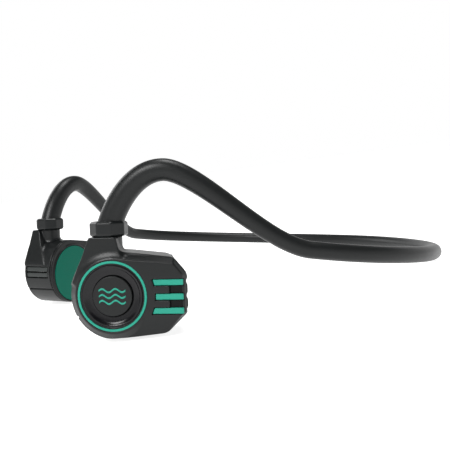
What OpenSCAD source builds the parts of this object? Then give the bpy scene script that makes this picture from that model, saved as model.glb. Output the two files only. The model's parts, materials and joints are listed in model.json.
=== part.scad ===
// Bone conduction headphones: two ear pods on a sprung neckband.
// Axes: +X is the wearer's left, -Y is forward, +Z is up. The part rests on a table:
// both pods and the back of the neckband touch Z = 0.
// A pod has its own axes: X runs back along the pod, Y up, and Z out of the outer face.

/* [Neckband] */
// Distance between the centres of the two collars
collar_spacing = 80; // [76:1:88]
// Angle that each pod toes in by
toe_in = 35; // [32:1:38]
// Length of the straight stretch behind each collar, seen from above
arm_length = 52; // [48:1:56]
// Bend radius beside the neck, seen from above
side_bend_r = 52; // [46:1:56]
// Direction at which the side bend hands over to the rear bow
rear_turn = 30; // [27:1:33]
// Diameter of the sleeve at the collar
hook_dia = 7.6; // [7:0.1:8]
// Diameter of the sleeve behind the neck
band_dia = 5.2; // [4.8:0.1:5.6]

/* [Pods] */
// Radius of the round front of a pod
front_r = 13.1; // [13:0.1:13.4]
// Length of the tail behind the button's centre
tail_length = 22; // [21.8:0.1:22.6]
// Wall of the shells
wall = 1.6; // [1.4:0.1:1.7]
// Height of the outer face above the sleeve's centre plane
face_z = 6.5; // [6.4:0.1:6.6]
// Radius of the round button cap
cap_r = 5.9; // [5.6:0.1:5.9]
// Travel of the round button
cap_travel = 0.5; // [0.3:0.1:0.5]
// Radius of the contact pad
pad_r = 11.2; // [10.8:0.1:11.2]

/* [Hidden] */

$fn = 64;

// Colours
shell_grey = "#3a3e3f";
cover_black = "#1c1e1f";
mint = "#46b08f";
pad_green = "#0b5f4a";
steel = "silver";
gold = "gold";
board_green = "#1f5a38";

// Rest pose: the whole part leans back until pods and band touch the table
rest_tilt = 6.65;
rest_lift = 33.22;
rest_shift = -63.17;

// Pod axes: the button's centre lies ahead of the collar and below it
collar_ahead = -2.1;
collar_up = 19.5;
bevel_z = face_z - 2.2;
rim_z = -8.6;
cover_z = -9.6;
pad_face_z = -10.2;
seal_t = 0.2;
floor_z = bevel_z - 0.1;
face_r = 11;
ring_r = 10;
ring_w = 0.7;
bowl_r = 9;
cap_clear = 0.3;
pad_drop = 1;
tail_draft = 3.7;
stripe_ys = [3.8, -0.4, -4.5];
stripe_h = 1.75;
slot_low = -1.65;
slot_high = 2.85;
slot_back = -7.6;
slot_front = 3.6;
bar_gap = 0.5;
bar_clear = 0.25;
bar_travel = 0.4;
screw_ring_r = 9;
screw_angles = [0, 75, -75];

// Collar and stem under the sleeve
collar_r = 5.3;
collar_h = 4.6;
collar_chamfer = 0.6;
stem_r = 3.9;
stem_bore_r = 2.5;

// Sleeve, wire and cable
sleeve_start = 0.88;
flex_half = 9;
flex_gap = 0.3;
bore_r = 1.5;
wire_r = 0.5;
cable_r = 0.55;
core_offset = 0.75;
sleeve_sides = 12;
core_sides = 8;

// Plan of the neckband: a straight stretch, a side bend and the rear bow
collar_x = collar_spacing / 2;
bend_turn = toe_in + rear_turn;
bend_length = side_bend_r * bend_turn * PI / 180;
bend_centre = [
    collar_x + arm_length * sin(toe_in) - side_bend_r * cos(toe_in),
    arm_length * cos(toe_in) + side_bend_r * sin(toe_in),
];
bow_r = (bend_centre.x + side_bend_r * cos(rear_turn)) / cos(rear_turn);
bow_centre_y = bend_centre.y + side_bend_r * sin(rear_turn) - bow_r * sin(rear_turn);
bow_length = bow_r * (90 - rear_turn) * PI / 180;
route_end = arm_length + bend_length + bow_length;

// Sleeve route, as distance behind the collar seen from above and height over its centre:
// up out of the stem, over the ear, down to the knee below it, then round the neck
stem_lead = 7;
stem_offset = 0.7;
rise_lean = 16;
crest_back = 17;
crest_up = 17;
knee_back = 60;
knee_down = 8;
knee_slope = 8;
rear_down = 14.5;
rear_flat = 12;
rise_dir = [sin(rise_lean), cos(rise_lean)];
knee_dir = [cos(knee_slope), -sin(knee_slope)];
crest = [crest_back, crest_up];
knee = [knee_back, -knee_down];
flat_start = [route_end - rear_flat, -rear_down];
level = [1, 0];
route_stretches = [
    [[-stem_offset, -stem_lead], [-stem_offset, -4], -2.5 * rise_dir, [0, 0]],
    [[0, 0], 7 * rise_dir, crest - 9 * level, crest],
    [crest, crest + 10 * level, knee - 13 * knee_dir, knee],
    [knee, knee + 30 * knee_dir, flat_start - 60 * level, flat_start],
    [for (k = [0:3]) flat_start + k / 3 * rear_flat * level],
];
taper_end = 50;

// Direction of travel at a distance along the plan, as an angle away from straight back
function heading(d) =
    d <= arm_length ? toe_in
    : d <= arm_length + bend_length ? toe_in - (d - arm_length) / side_bend_r * 180 / PI
    : -rear_turn - (d - arm_length - bend_length) / bow_r * 180 / PI;

// Place on the plan at a distance behind the collar
function plan_at(d) =
    let (h = heading(d))
    d <= arm_length ? [collar_x + d * sin(toe_in), d * cos(toe_in)]
    : d <= arm_length + bend_length ? bend_centre + side_bend_r * [cos(h), -sin(h)]
    : [bow_r * cos(h), bow_centre_y - bow_r * sin(h)];

// Point on the route. The whole part of the index is the stretch, and the rest is the way along it
last_index = len(route_stretches);
function profile_at(s) =
    let (i = min(floor(s), last_index - 1), p = route_stretches[i], t = s - i, q = 1 - t)
    q * q * q * p[0] + 3 * q * q * t * p[1] + 3 * q * t * t * p[2] + t * t * t * p[3];

// One station of the route: distance, height and slope
function station(s) =
    let (
        step = 0.01,
        a = profile_at(max(s - step, 0)),
        b = profile_at(min(s + step, last_index)),
        c = profile_at(s)
    )
    [c.x, c.y, atan2(b.y - a.y, b.x - a.x)];

// Ring of points round a station, offset across the route
function ring_at(st, r, off, n) =
    let (
        h = heading(st[0]),
        xy = plan_at(st[0]),
        across = [cos(h), -sin(h), 0],
        along = [sin(h), cos(h), 0],
        up = cos(st[2]) * [0, 0, 1] - sin(st[2]) * along,
        centre = [xy.x, xy.y, st[1]] + off * across
    )
    [for (k = [0:n - 1]) centre + r * (cos(360 * k / n) * across + sin(360 * k / n) * up)];

function sleeve_r(st) = lookup(st[0], [[0, hook_dia], [taper_end, band_dia]]) / 2;

// Index at a distance short of the route's end, on its level last stretch
function index_before_end(d) = last_index - d / rear_flat;

// Stations of one arm, and of the flexing stretch across the middle of the bow
ring_step = 3.6;
function steps_between(a, b) = ceil(norm(profile_at(b) - profile_at(a)) / ring_step);
function arm_stations(from, short_by) =
    let (to = index_before_end(short_by))
    concat(
        [for (i = [floor(from):last_index - 1])
            let (a = max(i, from), b = min(i + 1, to), n = steps_between(a, b))
            for (k = [0:n - 1]) station(a + (b - a) * k / n)],
        [station(to)]
    );
flex_rings = 4;
function flex_stations() =
    let (half = [for (k = [0:flex_rings]) station(index_before_end(flex_half * (1 - k / flex_rings)))])
    concat(half, [for (k = [flex_rings - 1:-1:0])
        [2 * route_end - half[k][0], half[k][1], -half[k][2]]]);

// Solid swept along stations
module swept_rod(stations, r, off, n) {
    m = len(stations);
    points = [for (st = stations) each ring_at(st, r, off, n)];
    sides = [for (i = [0:m - 2], k = [0:n - 1]) let (q = (k + 1) % n)
        [i * n + k, i * n + q, (i + 1) * n + q, (i + 1) * n + k]];
    first_end = [for (k = [n - 1:-1:0]) k];
    last_end = [for (k = [0:n - 1]) (m - 1) * n + k];
    polyhedron(points, concat(sides, [first_end, last_end]));
}

// Hollow sleeve swept along stations
module swept_sleeve(stations) {
    n = sleeve_sides;
    m = len(stations);
    outer = [for (st = stations) each ring_at(st, sleeve_r(st), 0, n)];
    inner = [for (st = stations) each ring_at(st, bore_r, 0, n)];
    base = m * n;
    skin = [for (i = [0:m - 2], k = [0:n - 1]) let (q = (k + 1) % n)
        [i * n + k, i * n + q, (i + 1) * n + q, (i + 1) * n + k]];
    bore = [for (f = skin) [f[0] + base, f[3] + base, f[2] + base, f[1] + base]];
    last = (m - 1) * n;
    first_end = [for (k = [0:n - 1]) let (q = (k + 1) % n) [k, base + k, base + q, q]];
    last_end = [for (k = [0:n - 1]) let (q = (k + 1) % n)
        [last + k, last + q, base + last + q, base + last + k]];
    polyhedron(concat(outer, inner), concat(skin, bore, first_end, last_end));
}

// Frames: the resting pose, and the axes of each pod
module at_rest() {
    translate([0, rest_shift, rest_lift]) rotate([-rest_tilt, 0, 0]) children();
}
module left_side() { at_rest() children(); }
module right_side() { at_rest() mirror([1, 0, 0]) children(); }
module pod_axes() {
    translate([collar_x, 0, 0]) rotate([90, 0, 90 - toe_in])
        translate([-collar_ahead, -collar_up, 0]) children();
}
module left_pod() { left_side() pod_axes() children(); }
module right_pod() { right_side() pod_axes() children(); }

// Layer of a pod between two heights
module layer(low, high) { translate([0, 0, low]) linear_extrude(high - low) children(); }
module disc(r, low, high) { translate([0, 0, low]) cylinder(r = r, h = high - low); }
module ring(r_out, r_in, low, high) {
    translate([0, 0, low]) rotate_extrude()
        translate([r_in, 0]) square([r_out - r_in, high - low]);
}

// Outline of a pod, inset by a wall and shortened at the tail by a draft
function arc(r, from, to, n) = [for (k = [0:n]) let (a = from + (to - from) * k / n) r * [cos(a), sin(a)]];
function tail_points(inset, draft) = [
    [15.6 - 0.3 * inset - 0.8 * draft, -11.3 + inset],
    [tail_length - inset - draft, -5.1 + 0.5 * inset],
    [tail_length - inset - draft, 6.2 - 0.5 * inset],
    [18.1 - 0.4 * inset - 0.8 * draft, 10.9 - inset],
];
function pod_outline(inset, draft) =
    concat(arc(front_r - inset, 90, 270, 24), tail_points(inset, draft));
function draft_at(z) = tail_draft * (bevel_z - z) / (bevel_z - rim_z);

// Solid between two outlines that have the same number of points
module loft(low_outline, low, high_outline, high) {
    n = len(low_outline);
    points = concat([for (p = low_outline) [p.x, p.y, low]], [for (p = high_outline) [p.x, p.y, high]]);
    sides = [for (k = [0:n - 1]) let (q = (k + 1) % n) [k, n + k, n + q, q]];
    polyhedron(points, concat(sides, [[for (k = [0:n - 1]) k], [for (k = [n - 1:-1:0]) n + k]]));
}

module pod_block(inset, low, high) {
    loft(pod_outline(inset, draft_at(low)), low, pod_outline(inset, draft_at(high)), high);
}

// Bevelled drum round the button and the raised face of the tail, both sunk into the block
relief_sink = 0.3;
module face_relief() {
    base_z = bevel_z - relief_sink;
    translate([0, 0, base_z]) cylinder(r1 = front_r - 0.1, r2 = face_r, h = face_z - base_z);
    loft(concat([[0, 12.5], [0, -12.5]], tail_points(0.15, 0.1)), base_z,
        [[0, 10.7], [0, -6.4], [19.4, -6.4], [20.8, -5], [21, 6], [17.2, 9.3]], face_z);
}

// Neck: a round stem under the collar, and a flat fin ahead of it
module neck() {
    stem_top = collar_up - collar_h / 2;
    translate([collar_ahead, 8, 0]) rotate([-90, 0, 0]) cylinder(r = stem_r, h = stem_top - 8);
    layer(2.6, 5.2)
        polygon([[-7, stem_top], [-10.9, 7.2], [-6, 2], [3, 9.5], [1.2, stem_top]]);
}

module stripe_outline(y, grow) {
    left = sqrt(pow(12.9, 2) - y * y);
    translate([left - grow, y - stripe_h / 2 - grow])
        square([21 - left + 2 * grow, stripe_h + 2 * grow]);
}

module edge_slot() {
    translate([-front_r - 1, slot_low, slot_back])
        cube([wall + 3, slot_high - slot_low, slot_front - slot_back]);
}

module outer_shell() {
    color(shell_grey) difference() {
        union() {
            pod_block(0, rim_z, bevel_z);
            face_relief();
            neck();
        }
        difference() {
            pod_block(wall, rim_z - 0.02, floor_z);
            for (a = screw_angles) rotate(a) translate([screw_ring_r, 0, 0.15]) cylinder(r = 1.4, h = 6);
        }
        for (a = screw_angles) rotate(a) translate([screw_ring_r, 0, 0]) cylinder(r = 0.6, h = 3);
        disc(cap_r + cap_clear, floor_z - 1, face_z + 1);
        translate([0, 0, face_z - 1.6]) cylinder(r1 = cap_r + 0.6, r2 = bowl_r + 0.5, h = 1.65);
        ring(ring_r + ring_w / 2, ring_r - ring_w / 2, face_z - 0.8, face_z + 1);
        for (y = stripe_ys) layer(face_z - 1, face_z + 1) stripe_outline(y, 0.15);
        edge_slot();
        translate([collar_ahead, 6, 0]) rotate([-90, 0, 0]) cylinder(r = stem_bore_r, h = 14);
    }
}

// The microphone's port runs through the floor of the right pod's tail
mic_at = [14, 7.2];
port_r = 0.5;
module right_shell() {
    difference() {
        outer_shell();
        translate([mic_at.x, mic_at.y, 0]) cylinder(r = port_r, h = 10);
    }
}

module inner_cover(contacts) {
    color(cover_black) difference() {
        union() {
            pod_block(0, cover_z, rim_z - seal_t);
            translate([0, -pad_drop, 0]) ring(pad_r + 0.8, pad_r + 0.15, cover_z - 0.35, cover_z + 0.2);
        }
        translate([0, -pad_drop, cover_z - 1]) cylinder(r = pad_r - 1.6, h = 3);
        if (contacts)
            for (y = contact_ys) translate([contact_x, y, cover_z - 1]) cylinder(r = contact_r + 0.05, h = 3);
    }
}

module cover_seal() {
    color("dimgray") layer(rim_z - seal_t, rim_z) difference() {
        polygon(pod_outline(0.4, draft_at(rim_z)));
        polygon(pod_outline(1.2, draft_at(rim_z)));
    }
}

module accent_ring() {
    color(mint) ring(ring_r + ring_w / 2, ring_r - ring_w / 2, face_z - 0.8, face_z + 0.05);
}

module stripe_inlays() {
    color(mint) for (y = stripe_ys) layer(face_z - 1, face_z - 0.3) stripe_outline(y, 0);
}

module button_bezel() {
    inner = cap_r + 0.65;
    color(cover_black) rotate_extrude()
        polygon([
            [inner, face_z - 1.5], [inner, face_z - 1], [bowl_r - 0.4, face_z - 0.05],
            [bowl_r, face_z - 0.05], [bowl_r, face_z - 0.15],
        ]);
}

// Round button: cap, retaining flange under the face, and the plunger that meets the switch
flange_z = 3.1;
plunger_z = 1.6;
module main_button() {
    color(shell_grey) {
        disc(cap_r, flange_z, face_z - 0.15);
        disc(cap_r + 1, flange_z, flange_z + 0.7);
        disc(1, plunger_z, flange_z + 0.01);
    }
}

module button_switch() {
    color(steel) {
        disc(2.4, 0.1, 0.6);
        disc(1.2, 0.5, plunger_z - cap_travel - 0.2);
    }
}

board_front = -8.3;
module button_board() {
    color(board_green) intersection() {
        difference() {
            disc(10.3, -0.6, 0.1);
            for (a = screw_angles) rotate(a) translate([screw_ring_r, 0, -1]) cylinder(r = 0.6, h = 3);
        }
        translate([board_front, -12, -1]) cube([24, 24, 2]);
    }
}

module board_screws() {
    color(steel) for (a = screw_angles) rotate(a) translate([screw_ring_r, 0, 0]) {
        translate([0, 0, -1.3]) cylinder(r = 1.1, h = 0.7);
        translate([0, 0, -0.7]) cylinder(r = 0.5, h = 3);
    }
}

// Transducer, from the skin side inwards: pad, spring plate, coil, magnet and yoke
module pad_axis() { translate([0, -pad_drop, 0]) children(); }
module contact_pad() {
    color(pad_green) pad_axis() {
        disc(pad_r, pad_face_z, cover_z);
        disc(pad_r - 1.8, cover_z - 0.01, -8.95);
    }
}
module spring_plate() { color(steel) pad_axis() disc(9.3, -8.95, -8.6); }
module voice_coil() { color("peru") pad_axis() ring(6.8, 6, -8.6, -4.5); }
module magnet() { color("gray") pad_axis() disc(5.4, -8, -2.6); }
module magnet_yoke() {
    color(steel) pad_axis() difference() {
        disc(8.2, -8.3, -2);
        disc(7.2, -9, -2.6);
    }
}

// Two bar buttons share the slot in a pod's front edge
bar_mid = (slot_low + slot_high) / 2;
module bar_button(upper) {
    low = upper ? bar_mid + bar_gap / 2 : slot_low + bar_clear;
    high = upper ? slot_high - bar_clear : bar_mid - bar_gap / 2;
    flange_low = upper ? low : low - 0.8;
    flange_high = upper ? high + 0.8 : high;
    color(shell_grey) {
        intersection() {
            ring(front_r - 0.1, front_r - wall - 0.6, slot_back + bar_clear, slot_front - bar_clear);
            translate([-15, low, -10]) cube([10, high - low, 20]);
        }
        intersection() {
            ring(front_r - wall - 0.3, front_r - wall - 0.8, slot_back - 0.3, slot_front + 0.3);
            translate([-15, flange_low, -10]) cube([10, flange_high - flange_low, 20]);
        }
    }
}

switch_face = -(front_r - wall - 0.8) + bar_travel + 0.5;
module edge_switches() {
    color(steel) {
        for (y = [bar_mid + 1.2, bar_mid - 1.2])
            translate([switch_face, y - 0.8, -1.2]) cube([0.9, 1.6, 2.4]);
        translate([switch_face + 0.9, bar_mid - 3, -1.8]) cube([0.15, 6, 3.6]);
    }
}

module collar_ring() {
    flat = 2 * collar_r;
    color(shell_grey) translate([collar_ahead, collar_up, 0]) rotate([-90, 0, 0]) difference() {
        hull() {
            translate([0, 0, -collar_h / 2 + collar_chamfer]) rotate(22.5)
                cylinder(d = flat / cos(22.5), h = collar_h - 2 * collar_chamfer, $fn = 8);
            translate([0, 0, -collar_h / 2]) rotate(22.5)
                cylinder(d = (flat - collar_chamfer) / cos(22.5), h = collar_h, $fn = 8);
        }
        translate([0, 0, -collar_h]) cylinder(d = hook_dia + 0.2, h = 2 * collar_h);
    }
}

// Electronics in the tails
module battery() { color("steelblue") translate([10.8, -4.6, -7]) cube([5.8, 11, 9.6]); }
module main_board() { color(board_green) translate([10.8, -4.6, -2]) cube([6.4, 12, 0.8]); }
module processor() { color("#202020") translate([11.5, -2.5, -1.2]) cube([4.6, 4.6, 0.9]); }
module microphone() {
    color(gold) difference() {
        translate([mic_at.x, mic_at.y, floor_z - 1.1]) cylinder(r = 1.2, h = 1.1);
        translate([mic_at.x, mic_at.y, floor_z - 0.5]) cylinder(r = port_r, h = 2);
    }
}
contact_x = 14.6;
contact_ys = [3.4, -1.6];
contact_r = 1.1;
module charging_contacts() {
    color(gold) for (y = contact_ys)
        translate([contact_x, y, cover_z - 0.1]) cylinder(r = contact_r, h = 1.2);
}

// Neckband pieces
module hook_sleeve() { color(shell_grey) swept_sleeve(arm_stations(sleeve_start, flex_half + flex_gap)); }
module arm_core(r, off) { swept_rod(arm_stations(0, flex_half + flex_gap), r, off, core_sides); }
module memory_wire() { color(steel) arm_core(wire_r, core_offset); }
module signal_cable() { color("firebrick") arm_core(cable_r, -core_offset); }

left_pod() outer_shell();  // left_outer_shell
left_pod() inner_cover(false);  // left_inner_cover
left_pod() cover_seal();  // left_cover_seal
left_pod() accent_ring();  // left_accent_ring
left_pod() stripe_inlays();  // left_stripe_inlays
left_pod() button_bezel();  // left_button_bezel
left_pod() main_button();  // left_main_button
left_pod() button_board();  // left_button_board
left_pod() button_switch();  // left_button_switch
left_pod() board_screws();  // left_board_screws
left_pod() contact_pad();  // left_contact_pad
left_pod() spring_plate();  // left_spring_plate
left_pod() magnet();  // left_magnet
left_pod() magnet_yoke();  // left_magnet_yoke
left_pod() voice_coil();  // left_voice_coil
left_pod() edge_switches();  // left_edge_switches
left_pod() collar_ring();  // left_collar_ring
left_side() hook_sleeve();  // left_hook_sleeve
left_side() memory_wire();  // left_memory_wire
left_side() signal_cable();  // left_signal_cable
left_pod() bar_button(true);  // power_button
left_pod() bar_button(false);  // mode_button
left_pod() battery();
right_pod() right_shell();  // right_outer_shell
right_pod() inner_cover(true);  // right_inner_cover
right_pod() cover_seal();  // right_cover_seal
right_pod() accent_ring();  // right_accent_ring
right_pod() stripe_inlays();  // right_stripe_inlays
right_pod() button_bezel();  // right_button_bezel
right_pod() main_button();  // right_main_button
right_pod() button_board();  // right_button_board
right_pod() button_switch();  // right_button_switch
right_pod() board_screws();  // right_board_screws
right_pod() contact_pad();  // right_contact_pad
right_pod() spring_plate();  // right_spring_plate
right_pod() magnet();  // right_magnet
right_pod() magnet_yoke();  // right_magnet_yoke
right_pod() voice_coil();  // right_voice_coil
right_pod() edge_switches();  // right_edge_switches
right_pod() collar_ring();  // right_collar_ring
right_side() hook_sleeve();  // right_hook_sleeve
right_side() memory_wire();  // right_memory_wire
right_side() signal_cable();  // right_signal_cable
right_pod() bar_button(true);  // volume_up_button
right_pod() bar_button(false);  // volume_down_button
right_pod() main_board();
right_pod() processor();
right_pod() microphone();
right_pod() charging_contacts();
at_rest() color(shell_grey) swept_sleeve(flex_stations());  // band_flex_sleeve
at_rest() color(steel) swept_rod(flex_stations(), wire_r, core_offset, core_sides);  // band_flex_wire
at_rest() color("firebrick") swept_rod(flex_stations(), cable_r, -core_offset, core_sides);  // band_flex_cable
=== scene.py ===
"""Looks of bone conduction headphones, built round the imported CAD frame.

The object's dimensions are in millimetres, as in the CAD model, and turn into metres where a mesh
is made. The floor, lights and camera are placed in metres.
"""
import json
import math

import bmesh
import bpy
import numpy as np
from mathutils import Matrix, Vector


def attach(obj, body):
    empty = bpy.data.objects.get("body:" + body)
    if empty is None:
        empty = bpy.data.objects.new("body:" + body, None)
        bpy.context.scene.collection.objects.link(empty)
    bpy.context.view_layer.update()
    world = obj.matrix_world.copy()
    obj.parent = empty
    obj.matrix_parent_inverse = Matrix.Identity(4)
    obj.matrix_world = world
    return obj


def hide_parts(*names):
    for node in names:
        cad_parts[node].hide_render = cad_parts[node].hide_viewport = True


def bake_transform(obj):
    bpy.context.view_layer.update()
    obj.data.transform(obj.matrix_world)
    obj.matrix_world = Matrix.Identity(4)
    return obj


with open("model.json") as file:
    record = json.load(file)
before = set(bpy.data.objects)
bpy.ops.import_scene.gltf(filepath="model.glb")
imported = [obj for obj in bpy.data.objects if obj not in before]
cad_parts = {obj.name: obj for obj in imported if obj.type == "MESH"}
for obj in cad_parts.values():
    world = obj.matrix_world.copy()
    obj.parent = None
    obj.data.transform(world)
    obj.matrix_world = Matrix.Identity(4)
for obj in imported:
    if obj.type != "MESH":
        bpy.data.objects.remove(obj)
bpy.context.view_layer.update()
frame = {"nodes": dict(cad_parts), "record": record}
MM = 0.001

# ---------------------------------------------------------------- dimensions, in mm, as in the CAD model
COLLAR_X = 40.0
TOE_IN = math.radians(35)
ARM_LENGTH = 52.0
SIDE_BEND_R = 52.0
REAR_TURN = math.radians(30)
HOOK_DIA, BAND_DIA = 7.6, 5.2
REST_TILT = math.radians(6.65)
REST_SHIFT, REST_LIFT = -63.17, 33.22
COLLAR_AHEAD, COLLAR_UP = -2.1, 19.5
FRONT_R, TAIL_LENGTH, WALL = 13.1, 22.0, 1.6
FACE_Z, BEVEL_Z, RIM_Z, COVER_Z, PAD_Z = 6.5, 4.3, -8.6, -9.6, -10.2
SEAL_T = 0.2
FACE_R, RING_R, RING_W, BOWL_R, CAP_R = 11.0, 10.0, 0.7, 9.0, 5.9
CAP_HOLE_R = CAP_R + 0.3
PAD_R, PAD_DROP = 11.2, 1.0
TAIL_DRAFT = 3.7
STRIPE_YS, STRIPE_H, STRIPE_END, STRIPE_ARC_R = (3.8, -0.4, -4.5), 1.75, 21.0, 12.9
SLOT_LOW, SLOT_HIGH, SLOT_BACK, SLOT_FRONT = -1.65, 2.85, -7.6, 3.6
STEM_R, STEM_BORE_R, COLLAR_R, COLLAR_H = 3.9, 2.5, 5.3, 4.6
STEM_TOP = COLLAR_UP - COLLAR_H / 2
STEM_FOOT = 6.0
# the fin's sloping edges, from (x at the stem's top) to (x, y) at the foot
FIN_FRONT_TOP, FIN_FRONT_FOOT = -7.0, (-10.9, 7.2)
FIN_BACK_TOP, FIN_BACK_FOOT = 1.2, (3.0, 9.5)
FIN_LOW, FIN_OUTER_Z, FIN_INNER_Z, FIN_INNER_FACING = 4.0, 5.2, 1.4, (0, 4.4, -9.6)
# corners of the tail's flat face, and how far the relief's foot reaches above and below the ring's centre
FACE_CORNERS = [(0, -6.4), (19.4, -6.4), (20.8, -5), (21, 6), (17.2, 9.3), (0, 10.7)]
RELIEF_FOOT, RELIEF_INSET = 12.5, 0.15
BOSS_RING_R, BOSS_R, BOSS_TOP, BOSS_ANGLES = 9.0, 1.4, 0.15, (0, 75, -75)
BOWL_DEPTH, RING_DEPTH, STRIPE_DEPTH = 1.6, 0.8, 1.0
FLUTE_R, FLUTE_OUT = 1.05, 0.75
STEP_X, STEP_HALF, STEP_DEPTH = 17.0, 4.6, 0.8
FRONT_LINE_Y, FRONT_LINE_HALF, FRONT_LINE_DEPTH = -6.3, 0.25, 0.4
MICROPHONE_AT, MICROPHONE_R = (14.0, 7.2), 0.5
CONTACT_X, CONTACT_YS, CONTACT_HOLE_R = 14.6, (3.4, -1.6), 1.15
PAD_RIM_GAP, PAD_RIM_HALF, PAD_RIM_H = 0.475, 0.325, 0.35
COLLAR_CHAMFER = 0.6
SIDES = {"left": 1, "right": -1}


# ---------------------------------------------------------------- frames
def to_rest(points_mm):
    """Points in the band's own axes, in mm, to the resting row frame, in metres."""
    p = np.asarray(points_mm, float)
    c, s = math.cos(REST_TILT), math.sin(REST_TILT)
    x, y, z = p[..., 0], p[..., 1], p[..., 2]
    return np.stack([x, y * c + z * s + REST_SHIFT, -y * s + z * c + REST_LIFT], -1) * MM


def pod_to_rest(points_mm, side):
    """Points in a pod's axes (back, up, out of the outer face) to the resting row frame."""
    p = np.asarray(points_mm, float)
    back, up, out = p[..., 0] - COLLAR_AHEAD, p[..., 1] - COLLAR_UP, p[..., 2]
    s, c = math.sin(TOE_IN), math.cos(TOE_IN)
    band = np.stack([COLLAR_X + back * s + out * c, back * c - out * s, up], -1)
    rest = to_rest(band)
    rest[..., 0] *= side
    return rest


# ---------------------------------------------------------------- sleeve route, as in the CAD model
BEND_TURN = TOE_IN + REAR_TURN
BEND_LENGTH = SIDE_BEND_R * BEND_TURN
BEND_CENTRE = np.array([
    COLLAR_X + ARM_LENGTH * math.sin(TOE_IN) - SIDE_BEND_R * math.cos(TOE_IN),
    ARM_LENGTH * math.cos(TOE_IN) + SIDE_BEND_R * math.sin(TOE_IN),
])
BOW_R = (BEND_CENTRE[0] + SIDE_BEND_R * math.cos(REAR_TURN)) / math.cos(REAR_TURN)
BOW_Y = BEND_CENTRE[1] + (SIDE_BEND_R - BOW_R) * math.sin(REAR_TURN)
ROUTE_END = ARM_LENGTH + BEND_LENGTH + BOW_R * (math.pi / 2 - REAR_TURN)
CREST = np.array([17.0, 17.0])
KNEE = np.array([60.0, -8.0])
REAR_DOWN, REAR_FLAT, TAPER_END = 14.5, 12.0, 50.0
STEM_LEAD, STEM_OFFSET = 7.0, 0.7
SLEEVE_BORE_R, WIRE_R, CABLE_R, CORE_OFFSET = 1.5, 0.5, 0.55, 0.75
RISE_LEAN, KNEE_SLOPE = math.radians(16), math.radians(8)
RISE_DIR = np.array([math.sin(RISE_LEAN), math.cos(RISE_LEAN)])
KNEE_DIR = np.array([math.cos(KNEE_SLOPE), -math.sin(KNEE_SLOPE)])
LEVEL = np.array([1.0, 0.0])
FLAT_START = np.array([ROUTE_END - REAR_FLAT, -REAR_DOWN])
ROUTE_STRETCHES = [
    [np.array([-STEM_OFFSET, -STEM_LEAD]), np.array([-STEM_OFFSET, -4.0]), -2.5 * RISE_DIR, 0 * LEVEL],
    [0 * LEVEL, 7 * RISE_DIR, CREST - 9 * LEVEL, CREST],
    [CREST, CREST + 10 * LEVEL, KNEE - 13 * KNEE_DIR, KNEE],
    [KNEE, KNEE + 30 * KNEE_DIR, FLAT_START - 60 * LEVEL, FLAT_START],
    [FLAT_START + k / 3 * REAR_FLAT * LEVEL for k in range(4)],
]
# where the sleeve starts along the route, inside the collar
SLEEVE_START = 0.88


def sleeve_dia(d):
    return HOOK_DIA + (BAND_DIA - HOOK_DIA) * min(max(d / TAPER_END, 0), 1)


def heading(d):
    """Direction of travel at a distance along the plan, as an angle away from straight back."""
    if d <= ARM_LENGTH:
        return TOE_IN
    if d <= ARM_LENGTH + BEND_LENGTH:
        return TOE_IN - (d - ARM_LENGTH) / SIDE_BEND_R
    return -REAR_TURN - (d - ARM_LENGTH - BEND_LENGTH) / BOW_R


def plan_at(d):
    h = heading(d)
    if d <= ARM_LENGTH:
        return np.array([COLLAR_X + d * math.sin(TOE_IN), d * math.cos(TOE_IN)])
    if d <= ARM_LENGTH + BEND_LENGTH:
        return BEND_CENTRE + SIDE_BEND_R * np.array([math.cos(h), -math.sin(h)])
    return np.array([BOW_R * math.cos(h), BOW_Y - BOW_R * math.sin(h)])


def profile_at(index):
    """Point on the route. The whole part of the index is the stretch, and the rest is the way along it."""
    i = min(int(index), len(ROUTE_STRETCHES) - 1)
    p, t = ROUTE_STRETCHES[i], index - i
    q = 1 - t
    return q ** 3 * p[0] + 3 * q * q * t * p[1] + 3 * q * t * t * p[2] + t ** 3 * p[3]


# ---------------------------------------------------------------- solids from distance fields
def smooth_min(a, b, k):
    h = np.clip(0.5 + 0.5 * (b - a) / k, 0, 1)
    return b + (a - b) * h - k * h * (1 - h)


def smooth_max(a, b, k):
    return -smooth_min(-a, -b, k)


def cut(a, b, k=0.15):
    """Solid a with solid b taken out of it, the new edges eased by k."""
    return smooth_max(a, -b, k)


def half_space(p, point, normal):
    n = np.asarray(normal, float)
    n = n / np.linalg.norm(n)
    return (p[0] - point[0]) * n[0] + (p[1] - point[1]) * n[1] + (p[2] - point[2]) * n[2]


def plane_through(p, a, b, c, inside=(8, 0, 0)):
    """Distance from the plane through three points, negative on the side of the inside point."""
    a, b, c = (np.asarray(q, float) for q in (a, b, c))
    n = np.cross(b - a, c - a)
    if np.dot(n, np.asarray(inside) - a) > 0:
        n = -n
    return half_space(p, a, n)


def box_field(p, low, high, r=0.0):
    centre = [(a + b) / 2 for a, b in zip(low, high)]
    half = [(b - a) / 2 - r for a, b in zip(low, high)]
    q = [np.abs(p[i] - centre[i]) - half[i] for i in range(3)]
    outside = np.sqrt(sum(np.maximum(d, 0) ** 2 for d in q))
    return outside + np.minimum(np.maximum(np.maximum(q[0], q[1]), q[2]), 0) - r


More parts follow.
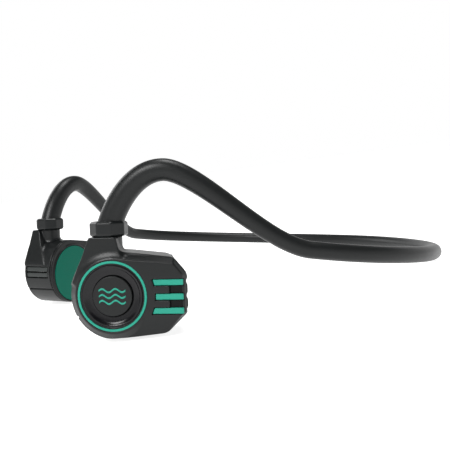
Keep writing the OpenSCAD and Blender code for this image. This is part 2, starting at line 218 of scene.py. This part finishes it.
def grid_mesh(field, low, high, step):
    """Closed quad mesh of the surface where field(p) is zero, inside the box from low to high."""
    low, high = np.array(low, float), np.array(high, float)
    counts = np.ceil((high - low) / step).astype(int) + 1
    axes = [(low[i] + step * np.arange(counts[i])).astype(np.float32) for i in range(3)]
    x, y, z = np.meshgrid(*axes, indexing="ij", sparse=True)
    f = np.broadcast_to(field((x, y, z)), tuple(counts)).astype(np.float32)
    inside = f < 0
    cells = tuple(counts - 1)
    total = np.zeros(cells + (3,), np.float32)
    hits = np.zeros(cells, np.float32)
    crossings = []
    for axis in range(3):
        lo = [slice(None)] * 3
        hi = [slice(None)] * 3
        lo[axis], hi[axis] = slice(0, -1), slice(1, None)
        lo, hi = tuple(lo), tuple(hi)
        crossed = inside[lo] != inside[hi]
        crossings.append((crossed, inside[lo]))
        idx = np.argwhere(crossed)
        f0, f1 = f[lo][crossed], f[hi][crossed]
        pos = idx.astype(np.float32)
        pos[:, axis] += f0 / (f0 - f1)
        others = [i for i in range(3) if i != axis]
        for a in (0, 1):
            for b in (0, 1):
                cell = idx.copy()
                cell[:, others[0]] -= a
                cell[:, others[1]] -= b
                ok = ((cell >= 0) & (cell < np.array(cells))).all(1)
                key = tuple(cell[ok].T)
                np.add.at(total, key, pos[ok])
                np.add.at(hits, key, 1)
    used = hits > 0
    number = np.full(cells, -1, np.int64)
    number[used] = np.arange(int(used.sum()))
    verts = total[used] / hits[used][:, None] * step + low
    faces = []
    for axis, (crossed, starts_inside) in enumerate(crossings):
        others = [i for i in range(3) if i != axis]
        idx = np.argwhere(crossed)
        ok = (idx[:, others[0]] > 0) & (idx[:, others[1]] > 0)
        ok &= (idx[:, others[0]] < cells[others[0]]) & (idx[:, others[1]] < cells[others[1]])
        idx = idx[ok]
        flip = starts_inside[crossed][ok]
        corners = []
        for a, b in ((1, 1), (0, 1), (0, 0), (1, 0)):
            cell = idx.copy()
            cell[:, others[0]] -= a
            cell[:, others[1]] -= b
            corners.append(number[tuple(cell.T)])
        quad = np.stack(corners, 1)
        if axis == 1:
            flip = ~flip
        quad[~flip] = quad[~flip][:, ::-1]
        faces.append(quad)
    # two steps along the gradient put each vertex on the surface itself
    eps = 0.02
    for _ in range(2):
        v = verts.astype(float)
        value = field((v[:, 0], v[:, 1], v[:, 2]))
        grad = np.stack([
            field(tuple(v[:, j] + (eps if j == i else 0) for j in range(3))) - value
            for i in range(3)
        ], 1) / eps
        size2 = np.maximum((grad ** 2).sum(1), 0.25)
        move = -(value / size2)[:, None] * grad
        length = np.linalg.norm(move, axis=1, keepdims=True)
        verts = v + move * np.minimum(1, 0.5 * step / np.maximum(length, 1e-9))
    return verts, np.concatenate(faces)


def new_object(name, verts, faces, smooth=True):
    mesh = bpy.data.meshes.new(name)
    mesh.from_pydata([tuple(v) for v in verts], [], [tuple(int(i) for i in f) for f in faces])
    mesh.validate()
    mesh.update()
    obj = bpy.data.objects.new(name, mesh)
    bpy.context.scene.collection.objects.link(obj)
    if smooth:
        mesh.shade_smooth()
    return obj


def lathe(profile, segments=96):
    """Solid of revolution about the pod's outward axis. profile is a closed list of (radius, height)."""
    verts, faces = [], []
    n = len(profile)
    for k in range(segments):
        a = 2 * math.pi * k / segments
        for r, z in profile:
            verts.append((r * math.cos(a), r * math.sin(a), z))
    for k in range(segments):
        q = (k + 1) % segments
        for i in range(n):
            j = (i + 1) % n
            faces.append((k * n + i, q * n + i, q * n + j, k * n + j))
    return np.array(verts), faces


def spin(profile, segments=96, centre=(0, 0)):
    """Solid of revolution whose profile of (radius, height) starts and ends on the axis."""
    verts = [(centre[0], centre[1], profile[0][1]), (centre[0], centre[1], profile[-1][1])]
    inner = profile[1:-1]
    n = len(inner)
    for k in range(segments):
        a = 2 * math.pi * k / segments
        verts += [(centre[0] + r * math.cos(a), centre[1] + r * math.sin(a), z) for r, z in inner]
    faces = []
    for k in range(segments):
        a, b = 2 + k * n, 2 + (k + 1) % segments * n
        faces.append((0, b, a))
        faces += [(a + i, b + i, b + i + 1, a + i + 1) for i in range(n - 1)]
        faces.append((a + n - 1, b + n - 1, 1))
    return np.array(verts), faces


def eased(points, radius, steps=5, closed=False):
    """The same profile with its corners rounded by curves that start up to radius away from each."""
    pts = [np.array(p, float) for p in points]
    n = len(pts)
    out = []
    for i, p in enumerate(pts):
        if not closed and i in (0, n - 1):
            out.append(tuple(p))
            continue
        a, b = pts[i - 1] - p, pts[(i + 1) % n] - p
        la, lb = np.linalg.norm(a), np.linalg.norm(b)
        r = min(radius, 0.45 * la, 0.45 * lb)
        start, end = p + a / la * r, p + b / lb * r
        for k in range(steps + 1):
            t = k / steps
            out.append(tuple((1 - t) ** 2 * start + 2 * t * (1 - t) * p + t * t * end))
    return out


# ---------------------------------------------------------------- pod fields, in pod axes, in mm
def draft_at(z):
    return TAIL_DRAFT * (BEVEL_Z - z) / (BEVEL_Z - RIM_Z)


def tail_corners(inset, z):
    d = draft_at(z)
    return [
        (0, -FRONT_R + inset, z),
        (15.6 - 0.3 * inset - 0.8 * d, -11.3 + inset, z),
        (TAIL_LENGTH - inset - d, -5.1 + 0.5 * inset, z),
        (TAIL_LENGTH - inset - d, 6.2 - 0.5 * inset, z),
        (18.1 - 0.4 * inset - 0.8 * d, 10.9 - inset, z),
        (0, FRONT_R - inset, z),
    ]


def block_sides(p, inset, ease):
    """Walls of the pod: a round front and a drafted five-sided tail."""
    x, y, _ = p
    r = FRONT_R - inset
    field = np.where(x < 0, np.sqrt(x * x + y * y) - r, np.abs(y) - r)
    high, low = tail_corners(inset, BEVEL_Z), tail_corners(inset, RIM_Z)
    for i in range(len(high) - 1):
        field = smooth_max(field, plane_through(p, high[i], high[i + 1], low[i]), ease)
    return field


def block(p, inset, low, high, ease=0.9, edge=0.3):
    field = block_sides(p, inset, ease)
    return smooth_max(smooth_max(field, p[2] - high, edge), low - p[2], edge)


def face_relief(p):
    """The raised outer face: a cone frustum round the button and a bevelled block along the tail."""
    x, y, z = p
    lean = (FRONT_R - FACE_R) / (FACE_Z - BEVEL_Z)
    drum = (np.sqrt(x * x + y * y) - (FRONT_R - 0.1 - (z - BEVEL_Z) * lean)) / math.hypot(1, lean)
    foot = tail_corners(RELIEF_INSET, BEVEL_Z)
    foot[0], foot[-1] = (0, -RELIEF_FOOT, BEVEL_Z), (0, RELIEF_FOOT, BEVEL_Z)
    tail = -x
    for i in range(len(foot) - 1):
        tail = smooth_max(tail, plane_through(p, foot[i], foot[i + 1], (*FACE_CORNERS[i], FACE_Z)), 0.25)
    field = smooth_min(drum, tail, 0.2)
    field = smooth_max(field, z - FACE_Z, 0.3)
    field = smooth_max(field, block_sides(p, 0.05, 0.9), 0.2)
    return np.maximum(field, BEVEL_Z - 1 - z)


def fin_edge(p, top_x, foot, facing):
    """Sloping edge of the fin. facing is -1 at the front and 1 at the back."""
    return half_space(p, (top_x, STEM_TOP, 0), (facing * (STEM_TOP - foot[1]), facing * (foot[0] - top_x), 0))


def neck(p):
    """The round stem under the collar and the fin on its outer side."""
    x, y, z = p
    stem = np.sqrt((x - COLLAR_AHEAD) ** 2 + z * z) - STEM_R
    stem = smooth_max(np.maximum(stem, STEM_FOOT - y), y - STEM_TOP, 0.3)
    fin = fin_edge(p, FIN_FRONT_TOP, FIN_FRONT_FOOT, -1)
    back = fin_edge(p, FIN_BACK_TOP, FIN_BACK_FOOT, 1)
    inner = half_space(p, (0, STEM_TOP, FIN_INNER_Z), FIN_INNER_FACING)
    for side in (back, y - STEM_TOP, FIN_LOW - y, z - FIN_OUTER_Z, inner):
        fin = smooth_max(fin, side, 0.5)
    return smooth_min(stem, fin, 0.8)


def stripe_body(p, y0, grow, low, high, edge):
    x, y, z = p
    half = STRIPE_H / 2 + grow
    field = smooth_max(np.abs(y - y0) - half, STRIPE_ARC_R - grow - np.sqrt(x * x + y * y), edge)
    field = smooth_max(field, x - STRIPE_END - grow, edge)
    return smooth_max(np.maximum(field, low - z), z - high, edge)


def shell_cavity(p):
    """The shell's inside, less the bosses that the board's screws go into."""
    x, y, z = p
    cavity = block(p, WALL, RIM_Z - 2, BEVEL_Z - 0.1)
    for degrees in BOSS_ANGLES:
        a = math.radians(degrees)
        from_axis = np.sqrt((x - BOSS_RING_R * math.cos(a)) ** 2 + (y - BOSS_RING_R * math.sin(a)) ** 2)
        cavity = np.maximum(cavity, -np.maximum(from_axis - BOSS_R, BOSS_TOP - z))
    return cavity


def shell_field(p, microphone):
    x, y, z = p
    r = np.sqrt(x * x + y * y)
    field = smooth_min(block(p, 0, RIM_Z, BEVEL_Z + 0.05), face_relief(p), 0.25)
    field = smooth_min(field, neck(p), 1.6)
    field = cut(field, shell_cavity(p), 0.1)
    bowl = (r - (CAP_R + 0.6 + (z - FACE_Z + BOWL_DEPTH) * 2)) / math.sqrt(5)
    field = cut(field, np.maximum(bowl, FACE_Z - BOWL_DEPTH - z), 0.1)
    field = cut(field, np.maximum(r - CAP_HOLE_R, BEVEL_Z - 1.1 - z), 0.1)
    groove = np.maximum(np.abs(r - RING_R) - RING_W / 2, FACE_Z - RING_DEPTH - z)
    field = cut(field, groove, 0.1)
    for y0 in STRIPE_YS:
        field = cut(field, stripe_body(p, y0, 0.15, FACE_Z - STRIPE_DEPTH, FACE_Z + 2, 0.1), 0.2)
        flute_axis = TAIL_LENGTH - draft_at(z) + FLUTE_OUT
        field = cut(field, np.sqrt((x - flute_axis) ** 2 + (y - y0) ** 2) - FLUTE_R, 0.4)
    step = np.maximum(STEP_X - x, np.abs(y - STRIPE_YS[1]) - STEP_HALF)
    field = cut(field, np.maximum(step, FACE_Z - STEP_DEPTH - z), 0.15)
    slot_low = (-FRONT_R - 1, SLOT_LOW, SLOT_BACK)
    slot_high = (-FRONT_R + WALL + 2, SLOT_HIGH, SLOT_FRONT)
    field = cut(field, box_field(p, slot_low, slot_high, 0.3), 0.15)
    line = np.maximum(np.abs(y - FRONT_LINE_Y) - FRONT_LINE_HALF, FRONT_R - FRONT_LINE_DEPTH - r)
    field = cut(field, np.maximum(line, x), 0.2)
    bore = np.sqrt((x - COLLAR_AHEAD) ** 2 + z * z) - STEM_BORE_R
    field = cut(field, np.maximum(bore, STEM_FOOT - y), 0.1)
    if microphone:
        from_port = np.sqrt((x - MICROPHONE_AT[0]) ** 2 + (y - MICROPHONE_AT[1]) ** 2)
        field = cut(field, np.maximum(from_port - MICROPHONE_R, -z), 0.15)
    return field


def cover_field(p, contacts):
    x, y, z = p
    from_pad = np.sqrt(x * x + (y + PAD_DROP) ** 2)
    field = block(p, 0, COVER_Z, RIM_Z - SEAL_T, edge=0.5)
    rim_height = np.maximum(COVER_Z - PAD_RIM_H - z, z - COVER_Z - 0.2)
    rim = np.maximum(np.abs(from_pad - PAD_R - PAD_RIM_GAP) - PAD_RIM_HALF, rim_height)
    field = smooth_min(field, rim, 0.2)
    field = cut(field, from_pad - (PAD_R - 1.6), 0.1)
    if contacts:
        for y0 in CONTACT_YS:
            field = cut(field, np.sqrt((x - CONTACT_X) ** 2 + (y - y0) ** 2) - CONTACT_HOLE_R, 0.1)
    return field


def bar_field(p, low, high):
    x, y, z = p
    r = np.sqrt(x * x + y * y)
    face = smooth_max(r - FRONT_R + 0.1, FRONT_R - WALL - 0.6 - r, 0.2)
    face = smooth_max(face, np.maximum(low - y, y - high), 0.35)
    face = smooth_max(face, np.maximum(SLOT_BACK + 0.25 - z, z - SLOT_FRONT + 0.25), 0.35)
    return np.maximum(face, x)


def collar_field(p):
    x, y, z = p[0] - COLLAR_AHEAD, p[1] - COLLAR_UP, p[2]
    sides = np.abs(x)
    for a in (45, 90, 135):
        s, c = math.sin(math.radians(a)), math.cos(math.radians(a))
        sides = smooth_max(sides, np.abs(x * c + z * s), 0.25)
    field = smooth_max(sides - COLLAR_R, np.abs(y) - COLLAR_H / 2, 0.2)
    chamfer = (sides - COLLAR_R + np.abs(y) - COLLAR_H / 2 + COLLAR_CHAMFER) / math.sqrt(2)
    field = smooth_max(field, chamfer, 0.2)
    return cut(field, np.sqrt(x * x + z * z) - HOOK_DIA / 2 - 0.1, 0.1)


# ---------------------------------------------------------------- materials
def material(name, color, rough, metallic=0.0, coat=0.0, grain=900.0, bump=0.02, mottle=0.06,
             glow=0.0, specular=0.26):
    """Principled surface with fine procedural grain in its roughness, tone and relief."""
    m = bpy.data.materials.new(name)
    m.use_nodes = True
    nodes, links = m.node_tree.nodes, m.node_tree.links
    shader = nodes["Principled BSDF"]
    place = nodes.new("ShaderNodeTexCoord")
    noise = nodes.new("ShaderNodeTexNoise")
    noise.inputs["Scale"].default_value = grain
    noise.inputs["Detail"].default_value = 4
    links.new(place.outputs["Object"], noise.inputs["Vector"])
    spread = nodes.new("ShaderNodeMapRange")
    spread.inputs["To Min"].default_value = max(rough - 0.06, 0.02)
    spread.inputs["To Max"].default_value = rough + 0.06
    links.new(noise.outputs["Fac"], spread.inputs["Value"])
    links.new(spread.outputs["Result"], shader.inputs["Roughness"])
    tone = nodes.new("ShaderNodeMix")
    tone.data_type = "RGBA"
    # inputs 6 and 7 are the two colours that this node mixes, and output 2 is the result
    tone.inputs[6].default_value = (*[c * (1 - mottle) for c in color], 1)
    tone.inputs[7].default_value = (*[min(c * (1 + mottle), 1) for c in color], 1)
    links.new(noise.outputs["Fac"], tone.inputs["Factor"])
    links.new(tone.outputs[2], shader.inputs["Base Color"])
    relief = nodes.new("ShaderNodeBump")
    relief.inputs["Strength"].default_value = bump
    relief.inputs["Distance"].default_value = 0.0001
    links.new(noise.outputs["Fac"], relief.inputs["Height"])
    links.new(relief.outputs["Normal"], shader.inputs["Normal"])
    shader.inputs["Metallic"].default_value = metallic
    shader.inputs["Coat Weight"].default_value = coat
    shader.inputs["Coat Roughness"].default_value = 0.12
    shader.inputs["Specular IOR Level"].default_value = specular
    shader.inputs["Emission Color"].default_value = (1, 1, 1, 1)
    shader.inputs["Emission Strength"].default_value = glow
    return m


FINISH = {
    "shell": material("satin_charcoal", (0.0058, 0.0068, 0.0070), 0.37, coat=0.05, bump=0.15),
    "cover": material("smooth_black", (0.004, 0.005, 0.005), 0.34, specular=0.25),
    "seal": material("seal_rubber", (0.02, 0.02, 0.02), 0.75),
    "accent": material("mint", (0.016, 0.270, 0.190), 0.50),
    "bezel": material("gloss_black", (0.003, 0.003, 0.004), 0.22, coat=0.05, bump=0.0),
    "cap": material("cap_charcoal", (0.007, 0.008, 0.008), 0.45, bump=0.15),
    "bars": material("bar_charcoal", (0.030, 0.034, 0.033), 0.45, bump=0.1),
    "board": material("solder_mask", (0.010, 0.110, 0.045), 0.30, coat=0.5),
    "steel": material("bright_steel", (0.60, 0.60, 0.60), 0.28, metallic=1.0),
    "pad": material("pad_silicone", (0.001, 0.110, 0.072), 0.60, bump=0.1, specular=0.12),
    "magnet": material("nickel_plate", (0.55, 0.55, 0.56), 0.15, metallic=1.0),
    "yoke": material("plated_iron", (0.48, 0.48, 0.48), 0.35, metallic=1.0),
    "copper": material("enamelled_copper", (0.70, 0.30, 0.12), 0.30, metallic=1.0),
    "collar": material("collar_charcoal", (0.0060, 0.0072, 0.0075), 0.36, coat=0.05, bump=0.1),
    "sleeve": material("sleeve_silicone", (0.0068, 0.0077, 0.0078), 0.38, bump=0.12),
    "wire": material("titanium_wire", (0.48, 0.46, 0.43), 0.35, metallic=1.0),
    "cable": material("cable_jacket", (0.25, 0.03, 0.03), 0.55),
    "battery": material("foil_pouch", (0.40, 0.44, 0.50), 0.30, metallic=0.9, grain=300.0, bump=0.2),
    "chip": material("chip_package", (0.015, 0.015, 0.015), 0.60),
    "gold": material("gold_plate", (0.85, 0.60, 0.22), 0.22, metallic=1.0),
}
# painted shade: a near-black finish for the plates that stand in for the shadow in the stepped recess between
# the stripes
PAINTED_SHADE = material("painted_shade_black", (0.0035, 0.0042, 0.0042), 0.6, specular=0.14)
SLOT_OF = {s["node"]: s["material_slot"] for s in frame["record"]["subparts"]}
for node, obj in frame["nodes"].items():
    obj.data.materials.clear()
    obj.data.materials.append(FINISH[SLOT_OF[node]])


def dress(obj, slot_name, body=None, stands_for=(), finish=None):
    obj.data.materials.append(finish or FINISH[slot_name])
    if stands_for:
        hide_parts(*stands_for)
    if body:
        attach(obj, body)
    return obj


# ---------------------------------------------------------------- pods
FINE = 0.27
SMALL = 0.15
BARS = {"left": ("power", "mode"), "right": ("volume_up", "volume_down")}


def wave_ribbon(y0, half_length=4.0, swing=0.5, wave_length=4.0, thick=0.55):
    """One wavy line of the water symbol, as a thin closed ribbon on the cap."""
    low, high = FACE_Z - 0.16, FACE_Z - 0.11
    count = 48
    rows = []
    for k in range(count + 1):
        x = -half_length + 2 * half_length * k / count
        y = y0 + swing * math.sin(2 * math.pi * x / wave_length)
        rows.append([(x, y + s * thick / 2, z) for s, z in ((-1, low), (1, low), (1, high), (-1, high))])
    verts = [v for row in rows for v in row]
    faces = [(3, 2, 1, 0)]
    for k in range(count):
        a = 4 * k
        faces += [(a + i, a + (i + 1) % 4, a + 4 + (i + 1) % 4, a + 4 + i) for i in range(4)]
    faces.append(tuple(4 * count + i for i in range(4)))
    return verts, faces


def merged(parts):
    verts, faces = [], []
    for v, f in parts:
        base = len(verts)
        verts += [tuple(q) for q in v]
        faces += [tuple(int(i) + base for i in face) for face in f]
    return np.array(verts), faces


def outward(obj):
    """Turns every face of a closed mesh outwards."""
    bm = bmesh.new()
    bm.from_mesh(obj.data)
    bmesh.ops.recalc_face_normals(bm, faces=bm.faces)
    bm.to_mesh(obj.data)
    bm.free()
    return obj


def pod_solid(name, mesh, side):
    verts, faces = mesh
    return outward(new_object(name, pod_to_rest(verts, side), faces))


def add_shell(name, side):
    mesh = grid_mesh(lambda p: shell_field(p, name == "right"), (-14, -14, -9.2), (23.4, 18.6, 7.2), FINE)
    dress(pod_solid(name + "_shell", mesh, side), "shell", name + "_half", [name + "_outer_shell"])


def add_cover(name, side):
    low, high = (-14, -14, -10.6), (20.5, 14, -8.2)
    mesh = grid_mesh(lambda p: cover_field(p, name == "right"), low, high, FINE * 0.8)
    dress(pod_solid(name + "_skin_cover", mesh, side), "cover", name + "_half", [name + "_inner_cover"])


def add_ring(name, side):
    inside, outside = RING_R - RING_W / 2, RING_R + RING_W / 2
    low, high = FACE_Z - RING_DEPTH, FACE_Z + 0.05
    profile = eased([(inside, low), (outside, low), (outside, high), (inside, high)], 0.12, closed=True)
    dress(pod_solid(name + "_ring", lathe(profile), side), "accent", name + "_half", [name + "_accent_ring"])


def add_dish(name, side):
    inside = CAP_R + 0.15
    profile = [(inside, FACE_Z - 1.5), (BOWL_R, FACE_Z - 0.15), (BOWL_R, FACE_Z - 0.05),
               (BOWL_R - 0.4, FACE_Z - 0.05), (7.9, FACE_Z - 0.6), (7.0, FACE_Z - 0.9),
               (inside, FACE_Z - 0.95)]
    mesh = lathe(eased(profile, 0.3, closed=True))
    dress(pod_solid(name + "_dish", mesh, side), "bezel", name + "_half", [name + "_button_bezel"])


def add_cap(name, side):
    top, flange_r = FACE_Z - 0.15, CAP_R + 1
    profile = [(0, 1.6), (1, 1.6), (1, 3.1), (flange_r, 3.1), (flange_r, 3.8), (CAP_R, 3.8),
               (CAP_R, top), (0, top)]
    mesh = spin(eased(profile, 0.35))
    dress(pod_solid(name + "_cap_button", mesh, side), "cap", name + "_cap", [name + "_main_button"])


def add_water_symbol(name, side):
    waves = merged([wave_ribbon(y0) for y0 in (1.7, 0, -1.7)])
    dress(pod_solid(name + "_water_symbol", waves, side), "accent", name + "_cap")


def add_pad(name, side):
    step_r, back = PAD_R - 1.8, -8.95
    profile = [(0, PAD_Z), (PAD_R, PAD_Z), (PAD_R, COVER_Z), (step_r, COVER_Z), (step_r, back), (0, back)]
    mesh = spin(eased(profile, 0.35), centre=(0, -PAD_DROP))
    dress(pod_solid(name + "_skin_pad", mesh, side), "pad", name + "_half", [name + "_contact_pad"])


def add_stripes(name, side):
    low, high = FACE_Z - STRIPE_DEPTH, FACE_Z - 0.3
    mesh = merged([
        grid_mesh(lambda p, y0=y0: stripe_body(p, y0, 0, low, high, 0.25),
                  (11.5, y0 - 1.2, low - 0.3), (21.5, y0 + 1.2, high + 0.3), SMALL)
        for y0 in STRIPE_YS
    ])
    dress(pod_solid(name + "_stripes", mesh, side), "accent", name + "_half", [name + "_stripe_inlays"])


def add_painted_shade_plates(name, side):
    """Dark plates in the gaps between the stripes: painted shade, a near-black sheet standing in for the
    shadow down in the stepped recess there.
    """
    gaps = [(a + b) / 2 for a, b in zip(STRIPE_YS, STRIPE_YS[1:])]
    low, high, half = FACE_Z - 1, FACE_Z - 0.6, 1.05
    mesh = merged([
        grid_mesh(lambda p, y0=y0: box_field(p, (17.15, y0 - half, low), (20.6, y0 + half, high), 0.1),
                  (16.8, y0 - 1.4, low - 0.3), (21, y0 + 1.4, high + 0.3), SMALL)
        for y0 in gaps
    ])
    dress(pod_solid(name + "_painted_shade_plates", mesh, side), "bezel", name + "_half", finish=PAINTED_SHADE)


def add_bars(name, side):
    middle = (SLOT_LOW + SLOT_HIGH) / 2
    heights = ((middle + 0.25, SLOT_HIGH - 0.25), (SLOT_LOW + 0.25, middle - 0.25))
    for bar, (low, high) in zip(BARS[name], heights):
        mesh = grid_mesh(lambda p: bar_field(p, low, high),
                         (-13.6, low - 0.4, SLOT_BACK - 0.3), (-9.8, high + 0.4, SLOT_FRONT + 0.3), SMALL)
        dress(pod_solid(bar + "_bar_cap", mesh, side), "bars", bar + "_bar", [bar + "_button"])


def add_collar(name, side):
    mesh = grid_mesh(collar_field, (-8.2, 17.2, -6), (4, 21.8, 6), SMALL * 1.2)
    dress(pod_solid(name + "_collar", mesh, side), "collar", name + "_half", [name + "_collar_ring"])


POD_PIECES = [add_shell, add_cover, add_ring, add_dish, add_cap, add_water_symbol, add_pad, add_stripes,
              add_painted_shade_plates, add_bars, add_collar]
for pod_name, pod_side in SIDES.items():
    for add_piece in POD_PIECES:
        add_piece(pod_name, pod_side)


# ---------------------------------------------------------------- neckband
STATION_STEP = 0.9
# the arms and side bends stay stiff, and the rear bow between them takes all of the flex
BOW_START = ARM_LENGTH + BEND_LENGTH


def route(first):
    """Stations from the left pod round to the right: (centre, across, up, distance), in band axes, in mm."""
    half = []
    for i in range(int(first), len(ROUTE_STRETCHES)):
        a, b = max(i, first), i + 1
        count = max(3, math.ceil(np.linalg.norm(profile_at(b) - profile_at(a)) / STATION_STEP))
        half += [a + (b - a) * k / count for k in range(count)]
    half.append(float(len(ROUTE_STRETCHES)))
    stations = []
    for s in half:
        c = profile_at(s)
        before = profile_at(max(s - 0.01, 0))
        after = profile_at(min(s + 0.01, len(ROUTE_STRETCHES)))
        slope = math.atan2(after[1] - before[1], after[0] - before[0])
        h, xy = heading(c[0]), plan_at(c[0])
        across = np.array([math.cos(h), -math.sin(h), 0])
        along = np.array([math.sin(h), math.cos(h), 0])
        up = math.cos(slope) * np.array([0, 0, 1]) - math.sin(slope) * along
        stations.append((np.array([xy[0], xy[1], c[1]]), across, up, c[0]))
    flip = np.array([-1, 1, 1])
    stations += [(c * flip, across * flip, up * flip, d) for c, across, up, d in stations[-2::-1]]
    return stations


def swept(stations, radius_at, offset, sides):
    """Open tube round the stations, its middle moved sideways by offset: (points, faces)."""
    points = []
    for c, across, up, d in stations:
        middle = c + offset * across
        for k in range(sides):
            a = 2 * math.pi * k / sides
            points.append(middle + radius_at(d) * (math.cos(a) * across + math.sin(a) * up))
    skin = [
        (i * sides + k, i * sides + (k + 1) % sides, (i + 1) * sides + (k + 1) % sides, (i + 1) * sides + k)
        for i in range(len(stations) - 1) for k in range(sides)
    ]
    return points, skin


def spans(stations):
    """The left arm, the rear bow and the right arm. Neighbours share the station where they meet."""
    bow = [i for i, station in enumerate(stations) if station[3] >= BOW_START]
    first, last = bow[0], bow[-1]
    return {"left": stations[:first + 1], "bow": stations[first:last + 1], "right": stations[last:]}


def crisp_ends(obj):
    """Keeps the flat ends of a tube out of the shading of its skin."""
    bm = bmesh.new()
    bm.from_mesh(obj.data)
    for edge in bm.edges:
        edge.smooth = edge.calc_face_angle(0) < math.radians(60)
    bm.to_mesh(obj.data)
    bm.free()


def band_piece(part, kind, arm_kind, points, faces):
    """One stretch of the band. kind is the finish and the name of the bow's node, arm_kind of an arm's."""
    obj = outward(new_object(f"{part}_{arm_kind}_skin", to_rest(points), faces))
    crisp_ends(obj)
    if part == "bow":
        dress(obj, kind, stands_for=["band_flex_" + kind])
        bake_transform(obj)
    else:
        dress(obj, kind, part + "_half", [f"{part}_{arm_kind}"])


def build_sleeve(sides=32):
    for part, stations in spans(route(SLEEVE_START)).items():
        outer, skin = swept(stations, lambda d: sleeve_dia(d) / 2, 0, sides)
        inner, bore = swept(stations, lambda d: SLEEVE_BORE_R, 0, sides)
        base, last = len(outer), len(outer) - sides
        faces = skin + [tuple(i + base for i in f) for f in bore]
        for start in (0, last):
            for k in range(sides):
                q = (k + 1) % sides
                faces.append((start + k, start + q, base + start + q, base + start + k))
        band_piece(part, "sleeve", "hook_sleeve", outer + inner, faces)


def build_core(radius, offset, kind, arm_kind, sides=12):
    for part, stations in spans(route(0)).items():
        points, faces = swept(stations, lambda d: radius, offset, sides)
        last = len(points) - sides
        faces += [tuple(range(sides)), tuple(last + k for k in range(sides))]
        band_piece(part, kind, arm_kind, points, faces)


build_sleeve()
build_core(WIRE_R, CORE_OFFSET, "wire", "memory_wire")
build_core(CABLE_R, -CORE_OFFSET, "cable", "signal_cable")

# ---------------------------------------------------------------- floor, lights and camera
FLOOR_R, FLOOR_SIDES, FLOOR_Z = 6.0, 96, -0.0002
floor_angles = [2 * math.pi * k / FLOOR_SIDES for k in range(FLOOR_SIDES)]
floor_verts = [(FLOOR_R * math.cos(a), FLOOR_R * math.sin(a), FLOOR_Z) for a in floor_angles]
floor = new_object("floor", floor_verts, [tuple(range(FLOOR_SIDES))], smooth=False)
floor_finish = material("pale_floor", (0.60, 0.60, 0.60), 0.9, grain=3.0, bump=0.0, mottle=0.0, glow=0.82)
floor.data.materials.append(floor_finish)

# the sky is bright near the horizon and dim overhead
world = bpy.data.worlds.new("studio")
bpy.context.scene.world = world
world.use_nodes = True
sky_nodes, sky_links = world.node_tree.nodes, world.node_tree.links
direction = sky_nodes.new("ShaderNodeTexCoord")
parts = sky_nodes.new("ShaderNodeSeparateXYZ")
ramp = sky_nodes.new("ShaderNodeMapRange")
ramp.interpolation_type = "SMOOTHSTEP"
ramp.inputs["From Min"].default_value = 0.36
ramp.inputs["From Max"].default_value = 0.50
ramp.inputs["To Min"].default_value = 1.0
ramp.inputs["To Max"].default_value = 0.12
sky_nodes["Background"].inputs["Color"].default_value = (1, 1, 1, 1)
sky_links.new(direction.outputs["Generated"], parts.inputs["Vector"])
sky_links.new(parts.outputs["Z"], ramp.inputs["Value"])
sky_links.new(ramp.outputs["Result"], sky_nodes["Background"].inputs["Strength"])


def area_light(name, at, aim, size, power):
    data = bpy.data.lights.new(name, "AREA")
    data.shape = "DISK"
    data.size = size
    data.energy = power
    lamp = bpy.data.objects.new(name, data)
    lamp.location = at
    lamp.rotation_euler = (Vector(aim) - Vector(at)).to_track_quat("-Z", "Y").to_euler()
    bpy.context.scene.collection.objects.link(lamp)


area_light("key", (0.25, -0.50, 0.55), (0.02, -0.04, 0.02), 0.34, 4.5)
area_light("top", (-0.05, 0.10, 0.70), (0, 0, 0), 0.30, 2.5)
area_light("back", (-0.60, -0.20, 0.35), (0, 0, 0.03), 0.40, 1.0)

CAMERA_AT = Vector((0.2150, -0.1171, 0.0469))
CAMERA_AIM = Vector((0.0217, -0.0141, 0.0257))
CAMERA_ROLL = math.radians(-7.9)
LENS_MM = 48.0

forward = (CAMERA_AIM - CAMERA_AT).normalized()
level = forward.cross(Vector((0, 0, 1))).normalized()
upright = level.cross(forward)
right = level * math.cos(CAMERA_ROLL) + upright * math.sin(CAMERA_ROLL)
up = right.cross(forward)
camera_data = bpy.data.cameras.new("camera")
camera_data.lens = LENS_MM
camera_data.sensor_width = 36.0
camera_data.clip_start = 0.01
camera = bpy.data.objects.new("camera", camera_data)
turn = Matrix((right, up, -forward)).transposed()
camera.matrix_world = Matrix.Translation(CAMERA_AT) @ turn.to_4x4()
bpy.context.scene.collection.objects.link(camera)
bpy.context.scene.camera = camera
bpy.context.scene.view_settings.view_transform = "Standard"
